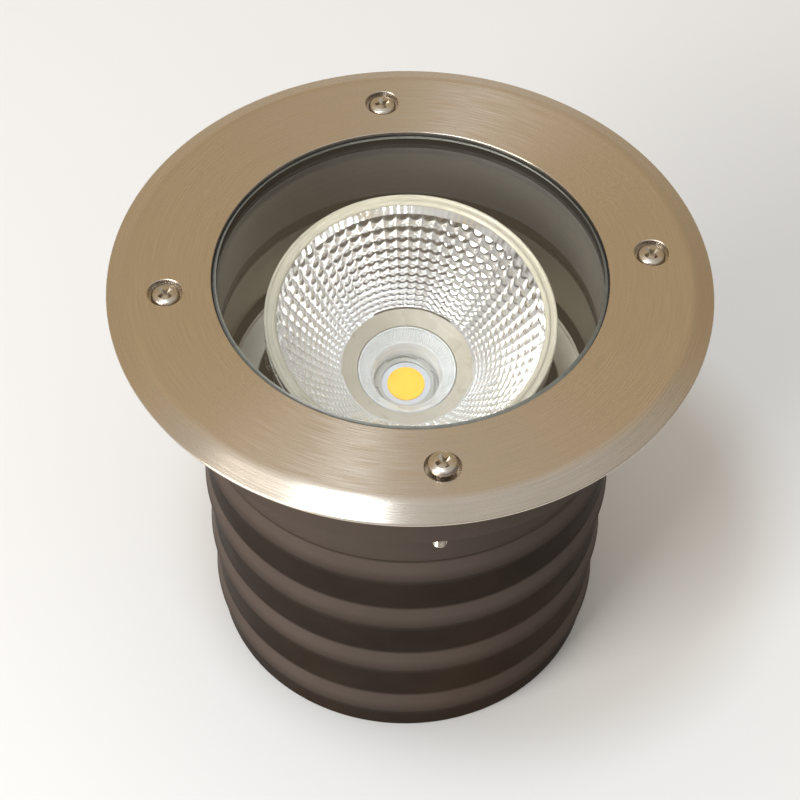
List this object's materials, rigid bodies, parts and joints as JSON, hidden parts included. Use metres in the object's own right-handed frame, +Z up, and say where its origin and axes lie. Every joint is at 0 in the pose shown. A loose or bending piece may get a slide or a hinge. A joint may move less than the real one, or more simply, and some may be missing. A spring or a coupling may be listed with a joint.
{
  "type": "in-ground well light",
  "caption": "Round recessed ground light: brushed steel ring and thick glass over a tilting, swivelling reflector head, in a sealed housing held by a ribbed mounting sleeve.",
  "frame": {"origin": "middle of the sleeve's lower edge", "axes": "+Z up through the ring's centre; -Y towards the front, where the lamp head leans; +Y towards the sleeve's cable notch"},
  "size_m": [0.2, 0.2, 0.173],
  "materials": {
    "trim_steel": "brushed",
    "screw_steel": "satin",
    "clear_glass": "polished",
    "black_rubber": "matte",
    "cast_housing": "satin",
    "sleeve_plastic": "satin",
    "brass": "satin",
    "plate_paint": "satin",
    "zinc_steel": "satin",
    "white_plastic": "matte",
    "driver_plastic": "matte",
    "black_plastic": "satin",
    "black_paint": "satin",
    "black_cast": "satin",
    "bezel_paint": "satin",
    "mirror_metal": "mirror polished",
    "neck_paint": "satin",
    "board_ceramic": "satin",
    "phosphor": "matte",
    "grey_pad": "matte",
    "bare_aluminium": "satin"
  },
  "bodies": {
    "root": {"trim_ring": "trim_steel", "trim_screws": "screw_steel", "glass_lens": "clear_glass", "glass_gasket": "black_rubber", "housing": "cast_housing", "flange_seal": "black_rubber", "mounting_sleeve": "sleeve_plastic", "thread_inserts": "brass", "floor_plate": "plate_paint", "floor_plate_screws": "screw_steel", "gear_tray": "zinc_steel", "tray_screws": "screw_steel", "swivel_bolt": "zinc_steel", "swivel_nut": "zinc_steel", "swivel_washers": "white_plastic", "driver_case": "driver_plastic", "driver_lid": "driver_plastic", "driver_screws": "screw_steel", "terminal_block": "white_plastic", "earth_screw": "brass", "gland_body": "black_plastic", "gland_nut": "black_plastic", "gland_seal": "black_rubber", "gland_lock_nut": "black_plastic", "gland_washer": "black_rubber"},
    "swivel": {"yoke_bracket": "black_paint", "pivot_washers": "white_plastic"},
    "head": {"pivot_screws": "screw_steel", "bezel_ring": "bezel_paint", "clamp_ring": "trim_steel", "lamp_body": "black_cast", "reflector": "mirror_metal", "neck_ring": "neck_paint", "ribbed_collar": "white_plastic", "cob_holder": "white_plastic", "holder_screws": "screw_steel", "cob_board": "board_ceramic", "emitter_disc": "phosphor", "thermal_pad": "grey_pad", "heat_sink": "bare_aluminium", "heat_sink_screws": "screw_steel"}
  },
  "joints": [
    {"name": "swivel_turn", "type": "hinge", "parent": "root", "child": "swivel", "pos_m": [0, 0, 0.07], "axis": [0, 0, 1], "range_deg": [-175, 175]},
    {"name": "head_tilt", "type": "hinge", "parent": "swivel", "child": "head", "pos_m": [0, 0, 0.1283], "axis": [1, 0, 0], "range_deg": [-26, 4]}
  ]
}
